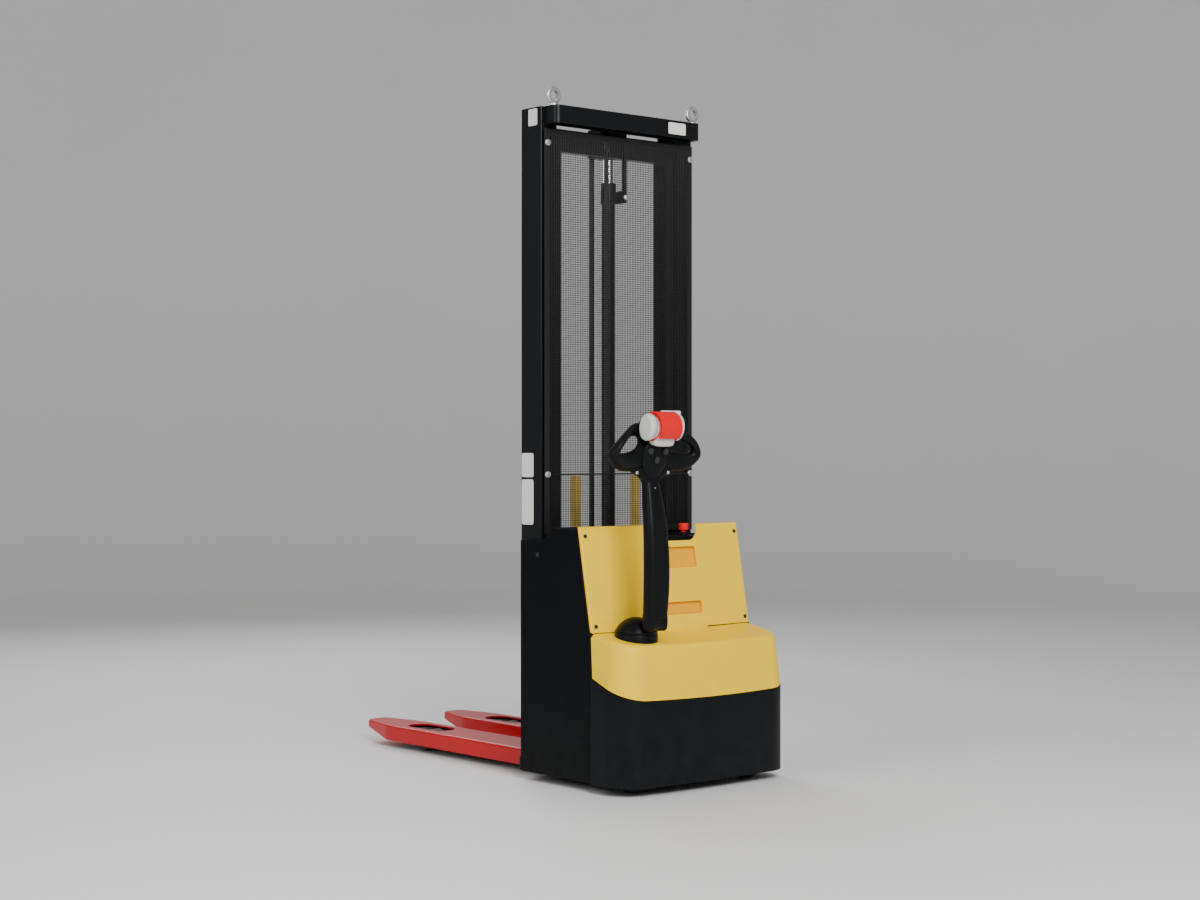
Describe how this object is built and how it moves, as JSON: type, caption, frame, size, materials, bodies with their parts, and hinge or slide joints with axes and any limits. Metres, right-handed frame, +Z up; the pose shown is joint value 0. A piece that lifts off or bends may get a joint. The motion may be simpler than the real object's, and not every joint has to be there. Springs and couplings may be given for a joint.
{
  "type": "pallet stacker",
  "caption": "Walk-behind electric pallet stacker with a two-stage mast behind a mesh guard, forks over straddled support legs, an offset tiller and a yellow hood.",
  "frame": {"origin": "on the floor under the middle of the whole truck, with the forks down and the tiller upright", "axes": "+Z up, +Y towards the fork tips, +X to the truck's right as seen by the operator behind it"},
  "size_m": [0.859, 1.8619, 2.4689],
  "materials": {
    "yellow_paint": "satin",
    "black_paint": "satin",
    "dark_paint": "satin",
    "red_paint": "gloss",
    "zinc": "zinc plated",
    "steel": "machined",
    "chrome": "polished",
    "chain_steel": "oiled",
    "yellow_plastic": "satin",
    "black_plastic": "textured",
    "grey_plastic": "satin",
    "red_plastic": "gloss",
    "white_tyre": "polyurethane",
    "black_tyre": "solid",
    "motor_paint": "satin"
  },
  "bodies": {
    "chassis": {"base_frame": "black_paint", "side_panel_left": "black_paint", "side_panel_right": "black_paint", "support_leg_left": "black_paint", "support_leg_right": "black_paint", "load_roller_axles": "steel", "outer_upright_left": "black_paint", "outer_upright_right": "black_paint", "top_crossbeam": "black_paint", "lower_mast_tie": "black_paint", "lifting_eyes": "zinc", "mesh_guard": "black_paint", "guard_bolts": "zinc", "cylinder_barrel": "black_paint", "cylinder_clamp": "black_paint", "hood": "yellow_plastic", "lower_cover": "yellow_plastic", "skirt": "dark_paint", "cover_screws": "zinc", "control_tray": "black_plastic", "battery": "black_plastic", "power_pack": "motor_paint", "motor_controller": "motor_paint", "slewing_ring": "steel", "chain_anchored_leaves": "chain_steel"},
    "inner_mast_body": {"inner_mast": "black_paint", "piston_rod": "chrome", "chain_lifted_leaves": "chain_steel", "chain_carriage_run": "chain_steel"},
    "carriage_body": {"carriage_frame": "black_paint", "backrest_bars": "yellow_paint", "fork_left": "red_paint", "fork_right": "red_paint"},
    "steered_body": {"drive_gearbox": "motor_paint", "drive_motor": "motor_paint", "steering_turret": "black_plastic"},
    "tiller_body": {"tiller_arm": "black_paint", "tiller_head": "black_plastic", "control_drum": "grey_plastic"},
    "chain_sheave_body": {"chain_sheave": "steel"},
    "drive_wheel_body": {"drive_wheel": "black_tyre"},
    "butterfly_switch_body": {"butterfly_switch": "grey_plastic"},
    "reverse_button_body": {"reverse_button": "red_plastic"},
    "lift_button_body": {"lift_button": "grey_plastic"},
    "lower_button_body": {"lower_button": "grey_plastic"},
    "horn_button_body": {"horn_button": "red_plastic"},
    "castor_fork_body": {"castor_fork": "zinc"},
    "castor_wheel_body": {"castor_wheel": "black_tyre"},
    "load_roller_left_body": {"load_roller_left": "white_tyre"},
    "load_roller_right_body": {"load_roller_right": "white_tyre"},
    "emergency_stop_body": {"emergency_stop": "red_plastic"},
    "key_switch_body": {"key_switch": "steel"},
    "top_mast_roller_left_body": {"top_mast_roller_left": "steel"},
    "top_mast_roller_right_body": {"top_mast_roller_right": "steel"},
    "lower_mast_roller_left_body": {"lower_mast_roller_left": "steel"},
    "lower_mast_roller_right_body": {"lower_mast_roller_right": "steel"},
    "carriage_roller_lower_left_body": {"carriage_roller_lower_left": "steel"},
    "carriage_roller_lower_right_body": {"carriage_roller_lower_right": "steel"},
    "carriage_roller_upper_left_body": {"carriage_roller_upper_left": "steel"},
    "carriage_roller_upper_right_body": {"carriage_roller_upper_right": "steel"}
  },
  "joints": [
    {"name": "mast_lift", "type": "slide", "parent": "chassis", "child": "inner_mast_body", "axis": [0, 0, 1], "range_m": [0, 1.5]},
    {"name": "carriage_lift", "type": "slide", "parent": "inner_mast_body", "child": "carriage_body", "axis": [0, 0, 1], "range_m": [0, 1.5], "deforming": ["chain_carriage_run"]},
    {"name": "sheave_spin", "type": "hinge", "parent": "inner_mast_body", "child": "chain_sheave_body", "pos_m": [-0.0165, -0.3015, 2.29], "axis": [1, 0, 0], "continuous": true},
    {"name": "top_mast_roller_left_spin", "type": "hinge", "parent": "chassis", "child": "top_mast_roller_left_body", "pos_m": [-0.3075, -0.3015, 2.291], "axis": [1, 0, 0], "continuous": true},
    {"name": "lower_mast_roller_left_spin", "type": "hinge", "parent": "inner_mast_body", "child": "lower_mast_roller_left_body", "pos_m": [-0.2975, -0.3015, 0.1402], "axis": [1, 0, 0], "continuous": true},
    {"name": "carriage_roller_lower_left_spin", "type": "hinge", "parent": "carriage_body", "child": "carriage_roller_lower_left_body", "pos_m": [-0.2435, -0.3015, 0.16], "axis": [1, 0, 0], "continuous": true},
    {"name": "carriage_roller_upper_left_spin", "type": "hinge", "parent": "carriage_body", "child": "carriage_roller_upper_left_body", "pos_m": [-0.2435, -0.3015, 0.57], "axis": [1, 0, 0], "continuous": true},
    {"name": "top_mast_roller_right_spin", "type": "hinge", "parent": "chassis", "child": "top_mast_roller_right_body", "pos_m": [0.3645, -0.3015, 2.291], "axis": [1, 0, 0], "continuous": true},
    {"name": "lower_mast_roller_right_spin", "type": "hinge", "parent": "inner_mast_body", "child": "lower_mast_roller_right_body", "pos_m": [0.3545, -0.3015, 0.1402], "axis": [1, 0, 0], "continuous": true},
    {"name": "carriage_roller_lower_right_spin", "type": "hinge", "parent": "carriage_body", "child": "carriage_roller_lower_right_body", "pos_m": [0.3005, -0.3015, 0.16], "axis": [1, 0, 0], "continuous": true},
    {"name": "carriage_roller_upper_right_spin", "type": "hinge", "parent": "carriage_body", "child": "carriage_roller_upper_right_body", "pos_m": [0.3005, -0.3015, 0.57], "axis": [1, 0, 0], "continuous": true},
    {"name": "steer", "type": "hinge", "parent": "chassis", "child": "steered_body", "pos_m": [-0.2245, -0.744, 0.3], "axis": [0, 0, 1], "range_deg": [-80, 80]},
    {"name": "drive_wheel_spin", "type": "hinge", "parent": "steered_body", "child": "drive_wheel_body", "pos_m": [-0.2245, -0.744, 0.1], "axis": [1, 0, 0], "continuous": true},
    {"name": "tiller_tilt", "type": "hinge", "parent": "steered_body", "child": "tiller_body", "pos_m": [-0.2245, -0.841, 0.583], "axis": [1, 0, 0], "range_deg": [0, 75], "stiffness_Nm_per_rad": 20, "springref_deg": -17.19},
    {"name": "butterfly_turn", "type": "hinge", "parent": "tiller_body", "child": "butterfly_switch_body", "pos_m": [-0.2245, -0.87694, 1.25592], "axis": [1, 0, 0], "range_deg": [-30, 30], "stiffness_Nm_per_rad": 0.6},
    {"name": "reverse_push", "type": "slide", "parent": "tiller_body", "child": "reverse_button_body", "axis": [0, 0.9781, 0.2079], "range_m": [0, 0.005], "stiffness_N_per_m": 600, "springref_m": -0.002},
    {"name": "lift_push", "type": "slide", "parent": "tiller_body", "child": "lift_button_body", "axis": [0, 0.9781, 0.2079], "range_m": [0, 0.003], "stiffness_N_per_m": 500, "springref_m": -0.001},
    {"name": "lower_push", "type": "slide", "parent": "tiller_body", "child": "lower_button_body", "axis": [0, 0.9781, 0.2079], "range_m": [0, 0.003], "stiffness_N_per_m": 500, "springref_m": -0.001},
    {"name": "horn_push", "type": "slide", "parent": "tiller_body", "child": "horn_button_body", "axis": [0, 0.9781, 0.2079], "range_m": [0, 0.003], "stiffness_N_per_m": 500, "springref_m": -0.001},
    {"name": "castor_swivel", "type": "hinge", "parent": "chassis", "child": "castor_fork_body", "pos_m": [0.2815, -0.724, 0.16], "axis": [0, 0, 1], "continuous": true},
    {"name": "castor_spin", "type": "hinge", "parent": "castor_fork_body", "child": "castor_wheel_body", "pos_m": [0.2815, -0.759, 0.065], "axis": [1, 0, 0], "continuous": true},
    {"name": "load_roller_left_spin", "type": "hinge", "parent": "chassis", "child": "load_roller_left_body", "pos_m": [-0.161, 0.546, 0.04], "axis": [1, 0, 0], "continuous": true},
    {"name": "load_roller_right_spin", "type": "hinge", "parent": "chassis", "child": "load_roller_right_body", "pos_m": [0.218, 0.546, 0.04], "axis": [1, 0, 0], "continuous": true},
    {"name": "emergency_stop_push", "type": "slide", "parent": "chassis", "child": "emergency_stop_body", "axis": [0, 0, -1], "range_m": [0, 0.008]},
    {"name": "key_turn", "type": "hinge", "parent": "chassis", "child": "key_switch_body", "pos_m": [0.0085, -0.509, 0.868], "axis": [0, 0, 1], "range_deg": [0, 90]}
  ],
  "couplings": [
    {"joint": "carriage_lift", "follows": "mast_lift", "ratio": 1},
    {"joint": "sheave_spin", "follows": "mast_lift", "rad_per_m": 24.096},
    {"joint": "top_mast_roller_left_spin", "follows": "mast_lift", "rad_per_m": -30.581},
    {"joint": "lower_mast_roller_left_spin", "follows": "mast_lift", "rad_per_m": 22.124},
    {"joint": "carriage_roller_lower_left_spin", "follows": "mast_lift", "rad_per_m": 30.581},
    {"joint": "carriage_roller_upper_left_spin", "follows": "mast_lift", "rad_per_m": -30.581},
    {"joint": "top_mast_roller_right_spin", "follows": "mast_lift", "rad_per_m": -30.581},
    {"joint": "lower_mast_roller_right_spin", "follows": "mast_lift", "rad_per_m": 22.124},
    {"joint": "carriage_roller_lower_right_spin", "follows": "mast_lift", "rad_per_m": 30.581},
    {"joint": "carriage_roller_upper_right_spin", "follows": "mast_lift", "rad_per_m": -30.581}
  ]
}
